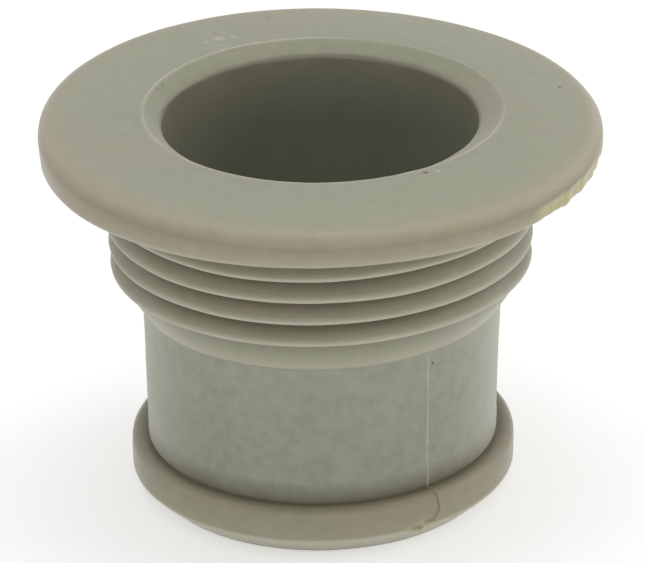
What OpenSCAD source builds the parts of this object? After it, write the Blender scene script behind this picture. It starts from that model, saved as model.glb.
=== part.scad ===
// Rubber adapter that seals a waste pipe in a drain socket.
// One moulding: flange, sealing fins, sleeve and end bead round a through bore.
// Stands on its end bead, +Z up, origin at the centre of its foot.

/* [Waste pipe bore] */
// Diameter of the bore, for the outside of the waste pipe
bore_d = 40; // [36:0.5:44]
// Radius of the rounded mouth, where the pipe goes in
mouth_round = 2.2; // [0.8:0.1:3]
// Bevel at the lower end of the bore
bore_bevel = 0.5; // [0.2:0.1:1]

/* [Flange] */
// Largest diameter of the flange
flange_d = 71; // [64:0.2:78]
// Thickness of the flange
flange_t = 5.6; // [4.6:0.1:8]
// Radius of the flange's upper edge
flange_round = 2.1; // [0.8:0.1:3]
// Radius of the flange's lower edge
flange_lip = 1; // [0.3:0.1:1.4]
// Radius in the corner between the flange and the neck
root_round = 1.2; // [0.4:0.1:1.6]

/* [Sealing fins] */
// Number of fins
fin_count = 4; // [2:1:6]
// Diameter over the fins
fin_d = 53.6; // [52:0.2:56]
// Diameter of the neck that carries the fins
neck_d = 49; // [47:0.2:50]
// Distance from one fin to the next
fin_pitch = 3; // [2.8:0.05:3.6]
// Thickness of a fin at its tip
fin_tip = 0.7; // [0.4:0.05:0.8]
// Slope of a fin's upper side, from the horizontal
fin_slope = 45; // [35:1:50]
// Plain neck between the flange and the first fin's tip
neck_l = 5.2; // [4:0.05:8]

/* [Sleeve] */
// Wall of the sleeve
sleeve_wall = 2.5; // [2:0.1:3]
// Length of the cone from the last fin down to the sleeve
shoulder_l = 5.05; // [4:0.05:8]
// Undercut of the last fin over that cone
shoulder_step = 0.5; // [0.3:0.1:0.8]
// Ledge where the cone ends on the sleeve
shoulder_ledge = 0.2; // [0.1:0.05:0.4]
// Length of the plain sleeve, where the clip goes
sleeve_l = 18.9; // [12:0.1:40]

/* [End bead] */
// How far the bead stands out from the sleeve
bead_proud = 2.2; // [1.2:0.1:3]
// Height of the bead above its bevel
bead_h = 4.4; // [3.5:0.1:8]
// Radius of the bead's upper edge
bead_round = 1.2; // [0.6:0.1:2.8]
// Height of the bevel under the bead
foot_h = 2.5; // [1.5:0.1:5]
// Width of the flat ring that the fitting stands on
foot_w = 1.5; // [0.8:0.1:2]

/* [Parting line] */
// Turn of the mould's parting line from the front
parting_angle = 35; // [0:1:90]
// Width of the raised parting line
parting_w = 0.4; // [0.2:0.1:0.8]
// Height of the raised parting line
parting_h = 0.15; // [0.05:0.05:0.3]

/* [Hidden] */

round_steps = 160;
corner_steps = 64;
// Overlap that keeps joined shapes one solid
sink = 0.5;

bore_r = bore_d / 2;
flange_r = flange_d / 2;
fin_r = fin_d / 2;
neck_r = neck_d / 2;
sleeve_r = bore_r + sleeve_wall;
bead_r = sleeve_r + bead_proud;

// Levels from the foot up
bead_z = foot_h + bead_h;
shoulder_z = bead_z + sleeve_l;
last_fin_z = shoulder_z + shoulder_l;
first_fin_z = last_fin_z + (fin_count - 1) * fin_pitch;
flange_z = first_fin_z + neck_l;
height = flange_z + flange_t;

// The foot's ring begins outside the bevel of the bore
foot_in_r = bore_r + bore_bevel;
foot_out_r = foot_in_r + foot_w;

// The tip of a fin is a half round, and its upper side runs on from it without a corner
tip_r = fin_tip / 2;
tip_x = fin_r - tip_r;
tip_touch = tip_r * [sin(fin_slope), cos(fin_slope)];
fin_rise = tip_r + tip_touch[1] + (tip_x + tip_touch[0] - neck_r) * tan(fin_slope);

// What a rounding takes off an outer corner at [x, y]: an upper one, or a lower one with side = -1
module corner_cut(x, y, r, side = 1) {
    translate([x - r, y - side * r])
        difference() {
            translate([0, side > 0 ? 0 : -r - sink])
                square(r + sink);
            circle(r, $fn = corner_steps);
        }
}

// Flange: flat on both faces, with rounded edges
module flange_section() {
    difference() {
        translate([bore_r, flange_z])
            square([flange_r - bore_r, flange_t]);
        corner_cut(flange_r, height, flange_round);
        corner_cut(flange_r, flange_z, flange_lip, -1);
    }
}

// Neck from the last fin up into the flange, with a hollow corner under the flange
module neck_section() {
    translate([bore_r, last_fin_z])
        square([neck_r - bore_r, flange_z - last_fin_z + sink]);
    difference() {
        translate([neck_r - sink, flange_z - root_round])
            square([root_round + sink, root_round + sink]);
        translate([neck_r + root_round, flange_z - root_round])
            circle(root_round, $fn = corner_steps);
    }
}

// One fin, standing on its flat underside at y = 0
module fin_section() {
    polygon([
        [neck_r - sink, 0],
        [tip_x, 0],
        [tip_x, tip_r],
        [tip_x + tip_touch[0], tip_r + tip_touch[1]],
        [neck_r, fin_rise],
        [neck_r - sink, fin_rise]
    ]);
    translate([tip_x, tip_r])
        circle(tip_r, $fn = corner_steps);
}

// Cone that carries the last fin and runs down to the sleeve
module shoulder_section() {
    polygon([
        [bore_r, shoulder_z],
        [sleeve_r + shoulder_ledge, shoulder_z],
        [fin_r - shoulder_step, last_fin_z],
        [bore_r, last_fin_z]
    ]);
}

// End bead with a rounded upper edge, and the bevel down to the foot
module bead_section() {
    difference() {
        polygon([
            [bore_r, 0],
            [foot_out_r, 0],
            [bead_r, foot_h],
            [bead_r, bead_z],
            [bore_r, bead_z]
        ]);
        corner_cut(bead_r, bead_z, bead_round);
    }
}

// Rounded mouth at the top of the bore and the bevel at its foot
module mouth_cut() {
    difference() {
        translate([bore_r - sink, height - mouth_round])
            square([mouth_round + sink, mouth_round + sink]);
        translate([bore_r + mouth_round, height - mouth_round])
            circle(mouth_round, $fn = corner_steps);
    }
    polygon([
        [bore_r - sink, -sink],
        [foot_in_r + sink, -sink],
        [bore_r - sink, bore_bevel + sink]
    ]);
}

// Half section of the whole moulding, outside the bore
module fitting_section() {
    difference() {
        union() {
            flange_section();
            neck_section();
            for (i = [0 : fin_count - 1])
                translate([0, last_fin_z + i * fin_pitch])
                    fin_section();
            shoulder_section();
            translate([bore_r, bead_z - sink])
                square([sleeve_wall, sleeve_l + 2 * sink]);
            bead_section();
        }
        mouth_cut();
    }
}

// Raised line that the two halves of the mould leave on both sides of the sleeve
module parting_lines() {
    for (side = [0, 180])
        rotate([0, 0, parting_angle + side])
            translate([-parting_w / 2, -sleeve_r - parting_h, bead_z - sink])
                cube([parting_w, parting_h + sink, sleeve_l + 2 * sink]);
}

module drain_fitting() {
    color([0.64, 0.63, 0.56])
        union() {
            rotate_extrude($fn = round_steps)
                fitting_section();
            parting_lines();
        }
}

drain_fitting();
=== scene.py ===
import math
import bpy
import numpy as np
from mathutils import Matrix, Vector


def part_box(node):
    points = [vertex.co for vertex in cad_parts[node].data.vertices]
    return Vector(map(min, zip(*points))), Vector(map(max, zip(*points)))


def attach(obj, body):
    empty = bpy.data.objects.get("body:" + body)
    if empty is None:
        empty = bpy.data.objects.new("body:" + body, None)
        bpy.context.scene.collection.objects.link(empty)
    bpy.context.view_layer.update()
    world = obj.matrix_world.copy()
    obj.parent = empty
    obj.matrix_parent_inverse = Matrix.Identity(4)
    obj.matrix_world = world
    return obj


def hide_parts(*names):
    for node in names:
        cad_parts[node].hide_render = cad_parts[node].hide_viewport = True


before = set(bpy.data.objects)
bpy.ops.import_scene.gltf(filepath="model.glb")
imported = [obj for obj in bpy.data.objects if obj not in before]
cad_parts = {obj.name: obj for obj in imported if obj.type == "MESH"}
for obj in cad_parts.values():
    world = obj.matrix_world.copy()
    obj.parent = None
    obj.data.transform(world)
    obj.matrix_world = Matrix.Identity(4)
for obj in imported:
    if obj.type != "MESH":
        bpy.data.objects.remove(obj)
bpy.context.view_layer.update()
mm = 0.001


# camera, angles in degrees and lengths in mm: a long lens that looks down on the front
cameraSet = {
    "aim": (0.4, -9.3, 31.5),
    "distance": 591.8,
    "pitch": 25.91,
    "roll": -1.32,
    "lens": 263.3,
    "sensor": 36.0,
}


def makeCamera(s):
    # the camera stands back from its aim along the line of sight; right and up turn by the roll
    pitch, roll = math.radians(s["pitch"]), math.radians(s["roll"])
    right = np.array([1.0, 0.0, 0.0])
    ahead = np.array([0.0, math.cos(pitch), -math.sin(pitch)])
    up = np.cross(right, ahead)
    camData = bpy.data.cameras.new("studioCamera")
    camData.lens = s["lens"]
    camData.sensor_width = s["sensor"]
    camData.clip_start = 10 * mm
    cam = bpy.data.objects.new("studioCamera", camData)
    bpy.context.collection.objects.link(cam)
    pose = np.eye(4)
    pose[:3, 0] = math.cos(roll) * right + math.sin(roll) * up
    pose[:3, 1] = math.cos(roll) * up - math.sin(roll) * right
    pose[:3, 2] = -ahead
    pose[:3, 3] = (np.array(s["aim"]) - s["distance"] * ahead) * mm
    cam.matrix_world = Matrix(pose.tolist())
    bpy.context.scene.camera = cam
    print("camera placed")


makeCamera(cameraSet)


# the moulding, lengths in mm above the foot; the height comes from the frame
low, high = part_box("drain_fitting")
moulding = {
    "top": high.z / mm,
    "flangeR": 35.2,
    "flangeT": 5.2,
    "flangeRound": 2.1,
    "flangeLean": 0.2,
    "flangeLip": 1.0,        # radius of the flange's lower edge
    "rootRound": 1.2,
    "boreR": 20.0,
    "boreBevel": 0.5,
    "mouthW": 2.2,           # the mouth's cone: width, slope, radius into the bore and radius at its ridge
    "mouthSlope": 34.0,
    "mouthRound": 0.9,
    "ridgeRound": 0.35,
    "witness": 0.5,          # strip round the mouth that carries its witness line
    "neckR": 24.5,
    "finR": (26.41, 26.56, 26.65, 26.75),  # from the lowest fin up
    "finZ": (31.17, 34.19, 37.16, 40.11),  # centres of the tips
    "finTip": 0.35,
    "finSlope": 45.0,
    "finHollow": 0.35,       # radius in the corner above each fin
    "undercut": 0.5,
    "shoulderZ": 25.78,
    "ledge": 0.2,
    "ledgeH": 0.12,
    "sleeveR": 22.5,
    "beadR": 24.68,
    "beadZ": 6.93,
    "beadRound": 1.2,
    "beadLip": 0.4,          # radius of the bead's lower edge
    "footH": 2.51,
    "footR": 21.96,
    "columns": 424,
}
moulded, eroded, bored = 0, 1, 2     # finishes, in the order of the piece's materials


def run(start, end, steps):
    # straight stretch of a profile, without its last point
    return start + (end - start) * np.linspace(0, 1, steps, endpoint=False)


def bend(centre, radius, fromDeg, toDeg, steps):
    # arc of a profile: the centre plus the radius turned through the angles, without its last point
    return centre + radius * np.exp(1j * np.radians(np.linspace(fromDeg, toDeg, steps, endpoint=False)))


def finOutline(s, i):
    # one fin from the neck out: hollow corner, slope, half-round tip, flat underside back in
    slope = math.radians(s["finSlope"])
    tip = s["finR"][i] - s["finTip"] + 1j * s["finZ"][i]
    touch = tip + s["finTip"] * np.exp(1j * (math.pi / 2 - slope))
    rise = (touch.real - s["neckR"]) * math.tan(slope)
    back = s["finHollow"] * math.tan((math.pi / 2 - slope) / 2)
    centre = s["neckR"] + s["finHollow"] + 1j * (touch.imag + rise + back)
    outSide = centre + s["finHollow"] * np.exp(1j * (1.5 * math.pi - slope))
    inner = s["neckR"] if i else s["finR"][0] - s["undercut"]
    # the hollow and the underside carry painted shade, the slope painted shade turning to light towards the
    # tip, and the tip painted pale, partly rubbed and partly a painted highlight
    return (
        (bend(centre, s["finHollow"], 180, 270 - s["finSlope"], 5), (-1.0, -0.9), 0.4),
        (run(outSide, touch, 5), (-0.9, 0.4), 0.4),
        (bend(tip, s["finTip"], 90 - s["finSlope"], -90, 6), (0.7, 1.0), 0.4),
        (run(tip - 1j * s["finTip"], inner + 1j * (s["finZ"][i] - s["finTip"]), 3), (-0.4, -1.0), 0.6),
    )


def outline(s):
    # closed half section as radius + i height: over the top, down the outside, in under the foot, up the bore
    # every point also gets its wear-and-light value (above 0 pale: rubbed wear and painted light; below 0
    # painted shade), warmth of tone and finish
    stretches = []

    def add(points, wearLightShade=(0.0, 0.0), warmth=0.0, finish=moulded):
        count = len(points)
        stretches.append((points, run(*wearLightShade, count), np.full(count, warmth), np.full(count, finish)))

    top, flangeZ = 1j * s["top"], 1j * (s["top"] - s["flangeT"])
    slope = math.radians(s["mouthSlope"])
    mouth, rim = s["boreR"] + s["mouthW"], s["flangeR"] - s["flangeRound"]
    ridge = mouth + s["ridgeRound"] * math.tan(slope / 2) + top - 1j * s["ridgeRound"]
    # painted pale next to the mouth's ridge: partly the witness line, partly a painted highlight
    add(run(ridge + 1j * s["ridgeRound"], mouth + s["witness"] + top, 5), (0.8, 0.0))
    add(run(mouth + s["witness"] + top, rim + top, 10), (0.0, 0.1))
    # the flange's outer edge: the upper rounding painted paler (rubbed wear and painted light), a band of
    # painted shade where the side begins, then painted light from below growing down the side to the lip,
    # which is painted palest
    add(bend(rim + top - 1j * s["flangeRound"], s["flangeRound"], 90, 45, 6), (0.1, 0.3), 0.6)
    add(bend(rim + top - 1j * s["flangeRound"], s["flangeRound"], 45, 0, 6), (0.2, -0.3), 1.0)
    lip = s["flangeR"] - s["flangeLean"] - s["flangeLip"] + flangeZ + 1j * s["flangeLip"]
    add(run(s["flangeR"] + top - 1j * s["flangeRound"], lip + s["flangeLip"], 6), (-0.25, 0.2), 1.0)
    add(bend(lip, s["flangeLip"], 0, -90, 8), (0.2, 1.1), 0.8)
    root = s["neckR"] + s["rootRound"] + flangeZ - 1j * s["rootRound"]
    # painted shade under the flange, deepest in the corner at the root
    add(run(lip - 1j * s["flangeLip"], root + 1j * s["rootRound"], 4), (0.0, -1.0), 0.6)
    add(bend(root, s["rootRound"], 90, 180, 4), (-1.0, -1.0), 0.5)
    for i in range(len(s["finZ"]) - 1, -1, -1):
        for points, wearLightShade, warmth in finOutline(s, i):
            add(points, wearLightShade, warmth)

    coneTop = s["finR"][0] - s["undercut"] + 1j * (s["finZ"][0] - s["finTip"])
    ledge = s["sleeveR"] + s["ledge"] + 1j * s["shoulderZ"]
    sleeveTop = s["sleeveR"] + 1j * (s["shoulderZ"] - s["ledgeH"])
    sleeveFoot = s["sleeveR"] + 1j * s["beadZ"]
    # the cone: painted shade under the lowest fin, turning to painted light from below towards the ledge;
    # painted shade at the ledge's step
    add(run(coneTop, ledge, 10), (-0.5, 0.8), -0.2)
    add(run(ledge, sleeveTop, 2), (0.0, -0.4), -0.2)
    # the sleeve nearly plain, then painted shade deepening over its last 3 mm into the corner at the bead
    add(run(sleeveTop, sleeveFoot + 3j, 18), (0.1, -0.05), finish=eroded)
    add(run(sleeveFoot + 3j, sleeveFoot, 7), (-0.05, -1.0), finish=eroded)

    beadMid = s["beadR"] - s["beadRound"] + 1j * (s["beadZ"] - s["beadRound"])
    bevel = math.atan2(s["footH"], s["beadR"] - s["footR"])
    lipRise = s["beadLip"] * math.tan((math.pi / 2 - bevel) / 2)
    beadLip = s["beadR"] - s["beadLip"] + 1j * (s["footH"] + lipRise)
    lipEnd = beadLip + s["beadLip"] * np.exp(1j * (bevel - math.pi / 2))
    # painted shade in the corner on top of the bead, fading over its rounding
    add(run(sleeveFoot, beadMid + 1j * s["beadRound"], 3), (-1.1, -0.5), 0.6)
    add(bend(beadMid, s["beadRound"], 90, 0, 9), (-0.4, -0.15), 0.6)
    add(run(beadMid + s["beadRound"], beadLip + s["beadLip"], 9), (-0.15, 0.1), 0.5)
    # the bead's lower edge and the foot's bevel painted pale: painted light from the floor
    add(bend(beadLip, s["beadLip"], 0, math.degrees(bevel) - 90, 4), (1.0, 1.3), 0.2)
    add(run(lipEnd, s["footR"] + 0j, 6), (1.2, 0.9), 0.2)
    add(run(s["footR"] + 0j, s["boreR"] + s["boreBevel"] + 0j, 2))

    boreFoot = s["boreR"] + 1j * s["boreBevel"]
    into = s["mouthRound"] * math.tan((math.pi / 2 - slope) / 2)
    corner = s["boreR"] + top - 1j * s["mouthW"] * math.tan(slope)
    boreTop = corner - 1j * into
    add(run(s["boreR"] + s["boreBevel"] + 0j, boreFoot, 2), finish=bored)
    # the bore painted paler low down and darker towards the mouth: painted light and painted shade that even
    # out the light falling in from above
    add(run(boreFoot, boreTop, 16), (0.5, -0.6), finish=bored)
    conal = np.exp(1j * slope)
    # painted shade on the rounding into the bore and down the mouth's cone, then painted pale at the ridge,
    # partly the witness line and partly a painted highlight
    add(bend(boreTop + s["mouthRound"], s["mouthRound"], 180, 90 + s["mouthSlope"], 8), (-0.6, -0.25))
    add(run(corner + into * conal, ridge + s["ridgeRound"] * 1j * conal, 7), (-0.2, -0.1))
    add(bend(ridge, s["ridgeRound"], 90 + s["mouthSlope"], 90, 5), (0.1, 0.8))
    return [np.concatenate(column) for column in zip(*stretches)]


# what use and the mould left on it, angles in degrees from the front towards +X, lengths in mm
marks = {
    "seamAt": (35.3, 215.3),
    "seamHeight": 0.09,
    "seamWidth": 0.16,
    "seamWander": 0.25,      # how far the line strays, in degrees
    # where it runs over the bead: degrees from the front, height
    "crack": ((35.3, 6.9), (35.1, 6.3), (35.8, 4.6), (33.8, 3.4), (27.0, 3.0)),
    "crackHeight": 0.14,
    "crackWidth": 0.17,
    "trimAt": 68.0,          # middle of the flange's trimmed edge
    "trimSpan": 19.0,
    "trimDepth": 0.3,
    "flashAt": 29.0,         # torn flash under the bead
    "flashSpan": 3.2,
    "flashReach": 0.4,
    "tipWave": 0.07,
    "surfaceWave": 0.035,
    "witnessH": 0.07,        # witness line round the mouth
    "softAt": 127.0,         # where it fades
    "topTilt": (-0.68, 0.43),    # rise of the flange's upper edge on the right and at the back
    "topDish": -0.09,
    "lipLift": -0.475,
    "lipTilt": (-0.155, -0.45),  # the same for its lower edge
    "rimGrow": -0.14,
    "rimShift": (0.38, -0.18),   # towards the right and the back
    "bendFrom": 8.0,
    "bend": (-0.2, -0.11),
    "flare": 0.84,
    "mouthShift": (0.55, 1.15),
    "seed": 11,
}


def crowdedAngles(s, columns):
    # angles spread by a density: even, with bell-shaped crowds at the seams, the trimmed edge and the flash
    fine = np.linspace(0, 360, 14401)
    density = np.ones_like(fine)
    crowds = [(at, 1.1, 12.0) for at in s["seamAt"]]
    crowds += [(s["trimAt"], s["trimSpan"], 2.0), (s["flashAt"], s["flashSpan"], 4.0)]
    for at, width, gain in crowds:
        density += gain * np.exp(-(((fine - at) / width) ** 2))
    share = np.concatenate([[0.0], np.cumsum((density[1:] + density[:-1]) / 2)])
    return np.interp(np.linspace(0, share[-1], columns, endpoint=False), share, fine)


def lattice(u, v, cells, seed):
    # smooth noise from -1 to 1: random values on a grid that closes on itself along u,
    # eased between the four nearest
    rng = np.random.default_rng(seed)
    grid = rng.uniform(-1, 1, (cells[0], cells[1] + 2))
    u, v = np.broadcast_arrays(np.mod(u, 1) * cells[0], np.clip(v, 0, 1) * cells[1])
    i, j = np.floor(u).astype(int) % cells[0], np.floor(v).astype(int)
    fu, fv = u - np.floor(u), v - j
    fu, fv = fu * fu * (3 - 2 * fu), fv * fv * (3 - 2 * fv)
    nextI = (i + 1) % cells[0]
    lower = grid[i, j] * (1 - fu) + grid[nextI, j] * fu
    upper = grid[i, j + 1] * (1 - fu) + grid[nextI, j + 1] * fu
    return lower * (1 - fv) + upper * fv


def ease(low, high, x):
    # 0 below low, 1 above high, and a smooth S between
    t = np.clip((x - low) / (high - low), 0, 1)
    return t * t * (3 - 2 * t)


def bell(x, width):
    # 1 at zero, falling away on both sides
    return np.exp(-((x / width) ** 2))


def turnFrom(angle, at):
    # degrees from one direction to another, the short way round
    return (angle - at + 180) % 360 - 180


def nearCrack(angle, height, s, m):
    # distance on the bead from the broken line through the crack's points
    place = m["beadR"] * np.radians(angle) + 1j * height
    corners = [m["beadR"] * math.radians(turn) + 1j * up for turn, up in s["crack"]]
    nearest = np.full(np.shape(place), 99.0)
    for start, end in zip(corners, corners[1:]):
        step = end - start
        share = np.clip(((place - start) * np.conj(step)).real / abs(step) ** 2, 0, 1)
        nearest = np.minimum(nearest, np.abs(place - start - share * step))
    return nearest


def surface(path, wearLightShade, warmth, s, m):
    # the profile carried round the axis, each point pushed along the profile's normal by the marks,
    # then the top leant and shifted as soft rubber is: x = r sin(angle), y = -r cos(angle)
    angle = crowdedAngles(s, m["columns"])[None, :]
    radius, height = path.real[:, None], path.imag[:, None]
    ahead = np.roll(path, -1) - np.roll(path, 1)
    normal = (1j * ahead / np.abs(ahead))[:, None]
    turn = angle / 360
    along = np.linspace(0, 1, len(path))[:, None]
    outside = ease(m["sleeveR"] - 1, m["sleeveR"] - 0.2, radius)

    push = s["surfaceWave"] * lattice(turn, along, (26, 60), s["seed"])
    push = push + 0.4 * s["surfaceWave"] * lattice(turn, along, (90, 160), s["seed"] + 1)

    # parting seams: a ridge where the distance along the surface from the line is near zero
    onSleeve = outside * ease(m["beadZ"] - 0.3, m["beadZ"], height) * ease(0.6, 0, height - m["shoulderZ"])
    onBead = outside * ease(1.0, 1.8, height) * ease(0.3, 0, height - m["beadZ"])
    onSide = ease(m["flangeR"] - 1.2, m["flangeR"] - 0.7, radius) * ease(0.2, -0.4, height - m["top"])
    seam = np.zeros_like(push)
    for k, at in enumerate(s["seamAt"]):
        stray = s["seamWander"] * lattice(height / 50, 0.5, (17, 1), s["seed"] + 2 + k)
        off = radius * np.radians(turnFrom(angle, at + stray))
        rough = 1 + 0.5 * lattice(height / 50, turn, (40, 1), s["seed"] + 5 + k)
        line = bell(off, s["seamWidth"]) * rough
        seam = seam + line * (onSleeve + 0.3 * onSide)
        push = push + s["seamHeight"] * line * (onSleeve + 0.3 * onSide)
    # on the bead the front seam is a cracked line that turns along the lower edge
    crack = bell(nearCrack(angle, height, s, m), s["crackWidth"]) * onBead
    push = push + s["crackHeight"] * crack
    far = onBead * bell(radius * np.radians(turnFrom(angle, s["seamAt"][1])), s["seamWidth"])
    push = push + s["crackHeight"] * far

    # torn flash along the bead's lower edge, beside the front seam
    flashOff = turnFrom(angle, s["flashAt"])
    flash = bell(flashOff / s["flashSpan"], 1.0) * bell(height - m["footH"] - 0.35, 0.55) * outside
    tear = lattice(turn, height / 12, (260, 40), s["seed"] + 8)
    push = push + s["flashReach"] * flash * (0.55 + 0.9 * tear)

    # the flange's lower edge, trimmed by hand on the right
    trimOff = turnFrom(angle, s["trimAt"])
    trim = ease(s["trimSpan"] + 3, s["trimSpan"] - 3, np.abs(trimOff))
    lowEdge = m["top"] - m["flangeT"]
    trim = trim * ease(3.1, 2.2, height - lowEdge) * ease(m["flangeR"] - 2.4, m["flangeR"] - 1.2, radius)
    cut = (
        lattice(turn, height / 12, (110, 9), s["seed"] + 9)
        + 0.6 * lattice(turn, height / 12, (300, 22), s["seed"] + 10)
    )
    push = push - s["trimDepth"] * trim * (0.45 + 0.5 * cut)

    # witness line round the mouth, nearly gone on the right
    strong = 0.15 + 0.85 * ease(30, 60, np.abs(turnFrom(angle, s["softAt"])))
    strong = strong * (0.8 + 0.4 * lattice(turn, 0.5, (40, 1), s["seed"] + 12))
    onTop = ease(-1, -0.6, height - m["top"])
    ridge = bell(radius - m["boreR"] - m["mouthW"] - 0.12, 0.2) * onTop
    push = push + s["witnessH"] * ridge * strong
    faded = onTop * ease(m["boreR"] + 3.2, m["boreR"] + 2.9, radius) * (1 - strong)
    keptWearLightShade = wearLightShade[:, None] * (1 - faded * (wearLightShade[:, None] > 0))

    bent = path[:, None] + normal * push
    radius, height = bent.real, bent.imag

    # fin tips waver a little
    tips = np.clip(keptWearLightShade, 0, 1) * ease(3, 1, height - m["finZ"][-1]) * ease(-3, -1, height - m["finZ"][0])
    level = np.round((height - m["finZ"][0]) / 3.0)
    height = height + s["tipWave"] * tips * lattice(turn, np.clip(level, 0, 3) / 3, (14, 3), s["seed"] + 13)
    radius = radius + s["tipWave"] * tips * lattice(turn, np.clip(level, 0, 3) / 3, (18, 3), s["seed"] + 14)

    side, back = np.sin(np.radians(angle)), -np.cos(np.radians(angle))
    # the flange's rim is larger and off centre; its upper and its lower edge each lie on a tilted plane
    reach = ease(m["neckR"], m["flangeR"] - 1, radius) * ease(lowEdge - 1.2, lowEdge, height)
    upper = ease(lowEdge + 0.6, m["top"] - 0.8, height)
    topTilt = s["topTilt"][0] * side + s["topTilt"][1] * back
    dish = s["topDish"] * ease(m["boreR"] + 6, m["flangeR"], radius)
    height = height + upper * (topTilt * (radius / m["flangeR"]) ** 3 + dish)
    height = height + (1 - upper) * reach * (s["lipLift"] + s["lipTilt"][0] * side + s["lipTilt"][1] * back)
    radius = radius + reach * (s["rimGrow"] + s["rimShift"][0] * side + s["rimShift"][1] * back)
    # the tube bends a little and its right side flares upwards
    bentUp = ease(s["bendFrom"], m["top"], height) * ease(m["boreR"] + 0.5, m["sleeveR"] - 0.3, radius)
    flare = ease(s["bendFrom"], m["finZ"][0], height) * np.clip(side, 0, 1) ** 2
    flare = flare * ease(m["boreR"] + 0.5, m["sleeveR"] - 0.3, radius)
    x = radius * side + bentUp * s["bend"][0] + flare * s["flare"]
    y = radius * back + bentUp * s["bend"][1]
    # the core stood a little off in the mould: the mouth and the upper bore sit right and back
    core = ease(m["shoulderZ"], m["top"] - 2, height)
    core = core * ease(m["boreR"] + m["mouthW"] + 3.5, m["boreR"] + m["mouthW"] + 0.5, radius)
    x = x + core * (s["mouthShift"][0] - bentUp * s["bend"][0])
    y = y + core * (s["mouthShift"][1] - bentUp * s["bend"][1])

    masks = {
        # pale: rubbed wear and painted light
        "rubbed": np.clip(keptWearLightShade, 0, 1.3),
        # dark: painted shade in hollows, corners, undersides and junctions
        "dirt": np.clip(-keptWearLightShade, 0, 1.1),
        "warmth": warmth[:, None] + 0 * angle,
        "seam": np.clip(seam, 0, 1),
        "crack": np.clip(crack, 0, 1),
        "torn": np.clip(trim + 1.4 * flash, 0, 1),
    }
    return np.stack([x, y, height + 0 * x], axis=-1) * mm, masks


def closedMesh(name, points, finish, masks):
    # quads between neighbouring rows and columns, closed both ways; row then column gives outward faces
    rows, columns = points.shape[:2]
    row, column = np.meshgrid(np.arange(rows), np.arange(columns), indexing="ij")
    nextRow, nextColumn = (row + 1) % rows, (column + 1) % columns
    corners = np.stack([
        row * columns + column,
        nextRow * columns + column,
        nextRow * columns + nextColumn,
        row * columns + nextColumn,
    ], axis=-1).reshape(-1)
    mesh = bpy.data.meshes.new(name)
    mesh.vertices.add(rows * columns)
    mesh.vertices.foreach_set("co", points.reshape(-1))
    mesh.loops.add(len(corners))
    mesh.loops.foreach_set("vertex_index", corners.astype(np.int32))
    mesh.polygons.add(rows * columns)
    mesh.polygons.foreach_set("loop_start", np.arange(0, len(corners), 4, dtype=np.int32))
    mesh.polygons.foreach_set("material_index", np.repeat(finish, columns).astype(np.int32))
    mesh.update(calc_edges=True)
    for key, values in masks.items():
        mesh.attributes.new(key, "FLOAT", "POINT").data.foreach_set(
            "value", values.astype(np.float32).reshape(-1)
        )
    mesh.shade_smooth()
    mesh.set_sharp_from_angle(angle=math.radians(42))
    mesh.validate()
    obj = bpy.data.objects.new(name, mesh)
    bpy.context.collection.objects.link(obj)
    print(name, "has", 2 * rows * columns, "triangles")
    return obj


path, wearLightShade, warmth, finish = outline(moulding)
points, masks = surface(path, wearLightShade, warmth, marks, moulding)
fitting = closedMesh("drainFitting", points, finish, masks)
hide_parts("drain_fitting")
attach(fitting, "root")


def tint(red, green, blue):
    # screen colour to linear light
    screen = np.array([red, green, blue]) / 255
    linear = np.where(screen <= 0.04045, screen / 12.92, ((screen + 0.055) / 1.055) ** 2.4)
    return (*linear.tolist(), 1.0)


class Wiring:
    # short hand for one node tree: makes nodes, sets their inputs and links values that are sockets
    def __init__(self, tree):
        self.tree = tree

    def node(self, kind, ins=(), **settings):
        made = self.tree.nodes.new(kind)
        for key, value in settings.items():
            setattr(made, key, value)
        for key, value in dict(ins).items():
            if isinstance(value, bpy.types.NodeSocket):
                self.tree.links.new(value, made.inputs[key])
            else:
                made.inputs[key].default_value = value
        return made

    def math(self, operation, a, b=0.0, clamp=False):
        return self.node("ShaderNodeMath", {0: a, 1: b}, operation=operation, use_clamp=clamp).outputs[0]

    def mix(self, factor, a, b, blend="MIX"):
        made = self.node("ShaderNodeMix", {0: factor, 6: a, 7: b}, data_type="RGBA", blend_type=blend)
        return made.outputs[2]

    def ramp(self, value, fromLow, fromHigh, toLow=0.0, toHigh=1.0):
        ins = {0: value, 1: fromLow, 2: fromHigh, 3: toLow, 4: toHigh}
        return self.node("ShaderNodeMapRange", ins, interpolation_type="SMOOTHSTEP").outputs[0]

    def noise(self, vector, scale, detail=3.0, rough=0.5):
        ins = {"Vector": vector, "Scale": scale, "Detail": detail, "Roughness": rough}
        return self.node("ShaderNodeTexNoise", ins).outputs["Fac"]


def makeGroup(name, ins, outs):
    # an empty shader group with named sockets; gives its wiring, its input node and its output node
    tree = bpy.data.node_groups.new(name, "ShaderNodeTree")
    for label, kind, value in ins:
        socket = tree.interface.new_socket(label, in_out="INPUT", socket_type=kind)
        socket.default_value = value
    for label, kind in outs:
        tree.interface.new_socket(label, in_out="OUTPUT", socket_type=kind)
    w = Wiring(tree)
    return w, w.node("NodeGroupInput"), w.node("NodeGroupOutput")


number, colour = "NodeSocketFloat", "NodeSocketColor"


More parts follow.
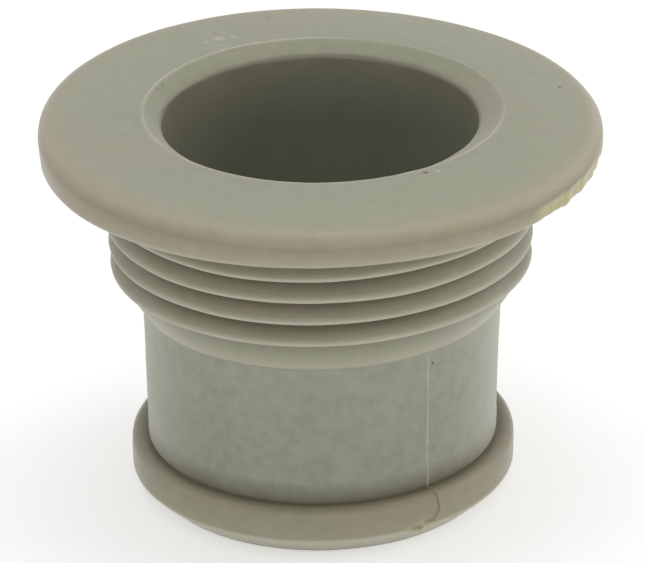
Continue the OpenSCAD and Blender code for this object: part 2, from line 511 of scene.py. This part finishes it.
def toneGroup():
    # one rubber between a cool and a warm tone: its warmth plus a slow drift, with a finer cloud on top
    w, given, out = makeGroup(
        "rubberTone",
        [("Warm", colour, (0.4, 0.4, 0.3, 1)), ("Cool", colour, (0.4, 0.4, 0.3, 1)),
         ("Drift", number, 60.0), ("Sway", number, 0.5), ("Cloud", number, 600.0), ("Amount", number, 0.1)],
        [("Color", colour)],
    )
    place = w.node("ShaderNodeTexCoord").outputs["Object"]
    warmth = w.node("ShaderNodeAttribute", attribute_name="warmth").outputs["Fac"]
    drift = w.math("SUBTRACT", w.noise(place, given.outputs["Drift"], 2.0), 0.5)
    sway = w.math("ADD", w.math("MULTIPLY", drift, given.outputs["Sway"]), warmth, True)
    base = w.mix(sway, given.outputs["Cool"], given.outputs["Warm"])
    cloud = w.math("SUBTRACT", w.noise(place, given.outputs["Cloud"], 4.0, 0.6), 0.5)
    gain = w.math("MULTIPLY_ADD", cloud, given.outputs["Amount"])
    gain.node.inputs[2].default_value = 1.0
    shade = w.node("ShaderNodeCombineColor", {0: gain, 1: gain, 2: gain}).outputs[0]
    w.tree.links.new(w.mix(1.0, base, shade, "MULTIPLY"), out.inputs["Color"])
    return w.tree


def grainGroup():
    # height of a fine grain over a coarser one, and the fine grain as a mask
    w, given, out = makeGroup(
        "rubberGrain",
        [("Fine", number, 3000.0), ("Coarse", number, 700.0), ("Share", number, 0.5)],
        [("Height", number), ("Mask", number)],
    )
    place = w.node("ShaderNodeTexCoord").outputs["Object"]
    fine = w.noise(place, given.outputs["Fine"], 2.0, 0.6)
    coarse = w.noise(place, given.outputs["Coarse"], 3.0, 0.55)
    blended = w.node(
        "ShaderNodeMix", {0: given.outputs["Share"], 2: fine, 3: coarse}, data_type="FLOAT"
    ).outputs[0]
    w.tree.links.new(blended, out.inputs["Height"])
    w.tree.links.new(fine, out.inputs["Mask"])
    return w.tree


# specks and rubs, each a place in mm and a radius in mm
spots = {
    "dark": (
        ((-12.9, 25.2, 50.6), 0.55), ((-12.2, 25.5, 50.6), 0.35), ((-18.5, 17.4, 50.6), 0.4),
        ((-17.8, 17.9, 50.6), 0.3),
        ((-19.4, 9.6, 50.6), 0.3), ((-20.0, 8.4, 50.6), 0.25), ((2.4, 20.6, 49.6), 0.4),
        ((13.3, -18.6, 50.4), 0.5),
        ((-11.4, 17.6, 42.2), 0.5), ((10.5, 19.0, 41.0), 0.35), ((5.9, 20.6, 38.4), 0.3),
        ((13.9, -17.9, 24.0), 0.25), ((-6.0, 30.5, 50.9), 0.25), ((31.0, 7.0, 50.2), 0.3),
    ),
    "pale": (
        ((-12.4, 23.6, 50.6), 1.1), ((-10.4, 24.2, 50.6), 0.8), ((-14.0, 22.6, 50.6), 0.7),
        ((-22.8, 28.4, 50.3), 0.5),
        ((-24.0, 26.0, 50.6), 0.4), ((14.8, -18.1, 50.6), 0.6), ((13.0, -18.4, 13.3), 0.35),
        ((13.8, -20.0, 2.4), 0.55),
    ),
    "rosy": (((-29.6, -9.5, 50.6), 0.55), ((13.9, -19.9, 2.9), 0.5), ((20.4, 27.5, 45.6), 0.2)),
}


def spotGroup(name, rows):
    # 1 in the middle of the nearest spot and 0 outside it, with a ragged border
    w, given, out = makeGroup(name, [("Ragged", number, 0.5)], [("Mask", number)])
    place = w.node("ShaderNodeTexCoord").outputs["Object"]
    ragged = w.math("MULTIPLY", w.math("SUBTRACT", w.noise(place, 2200.0, 2.0), 0.5), given.outputs["Ragged"])
    mask = 0.0
    for spot, size in rows:
        ins = {0: place, 1: [value * mm for value in spot]}
        away = w.node("ShaderNodeVectorMath", ins, operation="DISTANCE").outputs["Value"]
        reach = w.math("ADD", w.math("DIVIDE", away, size * mm), ragged)
        mask = w.math("MAXIMUM", mask, w.ramp(reach, 1.0, 0.35))
    w.tree.links.new(mask, out.inputs["Mask"])
    return w.tree


toneTree, grainTree = toneGroup(), grainGroup()
spotTrees = {kind: spotGroup(kind + "Spots", rows) for kind, rows in spots.items()}

# the three finishes of the same rubber; scales are per metre, bump heights in mm; the last two settings of
# each paint a sheen where the surface turns away
finishes = (
    {"name": "mouldedRubber", "warm": tint(169, 158, 136), "cool": tint(161, 161, 140), "drift": 55.0,
     "sway": 0.8, "cloud": 500.0, "amount": 0.22, "rough": 0.45, "roughSpread": 0.10, "fine": 2600.0,
     "coarse": 380.0, "share": 0.6, "bump": 0.035, "paintedSheen": 0.35, "paintedSheenFrom": 0.6},
    {"name": "erodedRubber", "warm": tint(163, 160, 141), "cool": tint(158, 160, 142), "drift": 70.0,
     "sway": 1.2, "cloud": 600.0, "amount": 0.5, "rough": 0.60, "roughSpread": 0.12, "fine": 3600.0,
     "coarse": 1100.0, "share": 0.45, "bump": 0.08, "paintedSheen": 0.7, "paintedSheenFrom": 0.3},
    {"name": "boreRubber", "warm": tint(158, 155, 134), "cool": tint(154, 154, 136), "drift": 50.0,
     "sway": 0.8, "cloud": 300.0, "amount": 0.15, "rough": 0.55, "roughSpread": 0.08, "fine": 1500.0,
     "coarse": 240.0, "share": 0.6, "bump": 0.03, "paintedSheen": 0.0, "paintedSheenFrom": 0.8},
)
overlays = {
    # colour of the painted shade
    "dirt": tint(84, 78, 54),
    # pale colour for rubbed wear and painted light
    "rubbed": tint(214, 210, 190),
    "seam": tint(192, 184, 166),
    "crack": tint(104, 84, 56),
    "torn": tint(196, 192, 142),
    "dark": tint(88, 80, 60),
    "pale": tint(200, 198, 180),
    "rosy": tint(190, 160, 150),
    # colour of the painted sheen
    "paintedSheen": tint(214, 214, 202),
}


def rubberMaterial(s):
    # tone, then the overlays laid on by their masks, among them painted shade, painted light and a painted
    # sheen, over a bumped and slightly patchy gloss
    mat = bpy.data.materials.new(s["name"])
    mat.use_nodes = True
    mat.node_tree.nodes.clear()
    w = Wiring(mat.node_tree)
    tone = w.node("ShaderNodeGroup", node_tree=toneTree)
    for key in ("Warm", "Cool", "Drift", "Sway", "Cloud", "Amount"):
        tone.inputs[key].default_value = s[key.lower()]
    grain = w.node("ShaderNodeGroup", node_tree=grainTree)
    for key in ("Fine", "Coarse", "Share"):
        grain.inputs[key].default_value = s[key.lower()]
    shade = tone.outputs["Color"]
    # painted shade first, then rubbed wear with painted light, then the seams, the torn edges and the crack
    for key, strength in (("dirt", 0.7), ("rubbed", 0.7), ("seam", 0.5), ("torn", 0.75), ("crack", 0.6)):
        mask = w.node("ShaderNodeAttribute", attribute_name=key).outputs["Fac"]
        shade = w.mix(w.math("MULTIPLY", mask, strength, True), shade, overlays[key])
    spotMasks = {}
    for key, strength in (("dark", 0.75), ("pale", 0.5), ("rosy", 0.5)):
        spotMasks[key] = w.node("ShaderNodeGroup", {"Ragged": 0.9}, node_tree=spotTrees[key]).outputs["Mask"]
        shade = w.mix(w.math("MULTIPLY", spotMasks[key], strength), shade, overlays[key])
    # painted sheen: the colour turns paler where the surface turns away from the camera
    facing = w.node("ShaderNodeLayerWeight", {"Blend": 0.5}).outputs["Facing"]
    shade = w.mix(w.ramp(facing, s["paintedSheenFrom"], 1.0, 0.0, s["paintedSheen"]), shade, overlays["paintedSheen"])
    rough = w.math("MULTIPLY_ADD", w.math("SUBTRACT", grain.outputs["Mask"], 0.5), s["roughSpread"])
    rough.node.inputs[2].default_value = s["rough"]
    height = w.math("SUBTRACT", grain.outputs["Height"], w.math("MULTIPLY", spotMasks["dark"], 1.5))
    bump = w.node("ShaderNodeBump", {"Height": height, "Strength": 1.0, "Distance": s["bump"] * mm})
    skin = w.node("ShaderNodeBsdfPrincipled", {
        "Base Color": shade, "Roughness": rough, "Normal": bump.outputs["Normal"],
        "IOR": 1.45, "Specular IOR Level": 0.4,
    })
    out = w.node("ShaderNodeOutputMaterial")
    w.tree.links.new(skin.outputs[0], out.inputs["Surface"])
    return mat


for settings in finishes:
    fitting.data.materials.append(rubberMaterial(settings))
print("rubber finishes made")


# studio, lengths in metres and lamp power in watts
studio = {
    "floorSize": 8.0,
    "floorColour": (0.88, 0.88, 0.88, 1.0),
    "floorGlow": 0.42,
    "sky": 0.36,
    "lamps": (
        {"name": "topLamp", "at": (0.0, 0.1, 0.75), "size": (0.7, 0.7), "power": 2.0},
        {"name": "leftLamp", "at": (-0.7, 0.1, 0.25), "size": (0.5, 0.4), "power": 0.55},
        {"name": "rightLamp", "at": (0.7, 0.1, 0.25), "size": (0.5, 0.4), "power": 1.3},
        {"name": "frontLamp", "at": (0.0, -0.7, 0.12), "size": (0.8, 0.2), "power": 1.2},
    ),
}


def seenDirectly(w):
    # 1 for what the camera sees straight, mirrored or through glass
    path = w.node("ShaderNodeLightPath")
    seen = w.math("ADD", path.outputs["Is Camera Ray"], path.outputs["Is Glossy Ray"])
    return w.math("ADD", seen, path.outputs["Is Transmission Ray"], True)


def makeStudio(s):
    half = s["floorSize"] / 2
    mesh = bpy.data.meshes.new("floor")
    corners = [(-half, -half, 0), (half, -half, 0), (half, half, 0), (-half, half, 0)]
    mesh.from_pydata(corners, [], [(0, 1, 2, 3)])
    floor = bpy.data.objects.new("floor", mesh)
    bpy.context.collection.objects.link(floor)
    mat = bpy.data.materials.new("paleFloor")
    mat.use_nodes = True
    mat.node_tree.nodes.clear()
    w = Wiring(mat.node_tree)
    matt = w.node("ShaderNodeBsdfDiffuse", {"Color": s["floorColour"]})
    glow = w.node("ShaderNodeEmission", {"Strength": w.math("MULTIPLY", seenDirectly(w), s["floorGlow"])})
    both = w.node("ShaderNodeAddShader", {0: matt.outputs[0], 1: glow.outputs[0]})
    w.node("ShaderNodeOutputMaterial", {"Surface": both.outputs[0]})
    mesh.materials.append(mat)

    world = bpy.data.worlds.new("studioWorld")
    world.use_nodes = True
    world.node_tree.nodes.clear()
    w = Wiring(world.node_tree)
    strength = w.ramp(seenDirectly(w), 0.0, 1.0, s["sky"], 1.0)
    sky = w.node("ShaderNodeBackground", {"Color": (1.0, 1.0, 1.0, 1.0), "Strength": strength})
    w.node("ShaderNodeOutputWorld", {"Surface": sky.outputs[0]})
    bpy.context.scene.world = world

    target = np.array([0.0, 0.0, moulding["top"] * mm / 2])
    for lamp in s["lamps"]:
        data = bpy.data.lights.new(lamp["name"], "AREA")
        data.shape = "RECTANGLE"
        data.size, data.size_y = lamp["size"]
        data.energy = lamp["power"]
        obj = bpy.data.objects.new(lamp["name"], data)
        bpy.context.collection.objects.link(obj)
        # the lamp shines down its own -Z, so that axis is turned from its place to the part
        back = np.array(lamp["at"]) - target
        back = back / np.linalg.norm(back)
        side = np.cross([0.0, 1.0, 0.0] if abs(back[2]) > 0.9 else [0.0, 0.0, 1.0], back)
        side = side / np.linalg.norm(side)
        pose = np.eye(4)
        pose[:3, 0], pose[:3, 1], pose[:3, 2], pose[:3, 3] = side, np.cross(back, side), back, lamp["at"]
        obj.matrix_world = Matrix(pose.tolist())
    bpy.context.scene.view_settings.view_transform = "Standard"
    print("studio set")


makeStudio(studio)
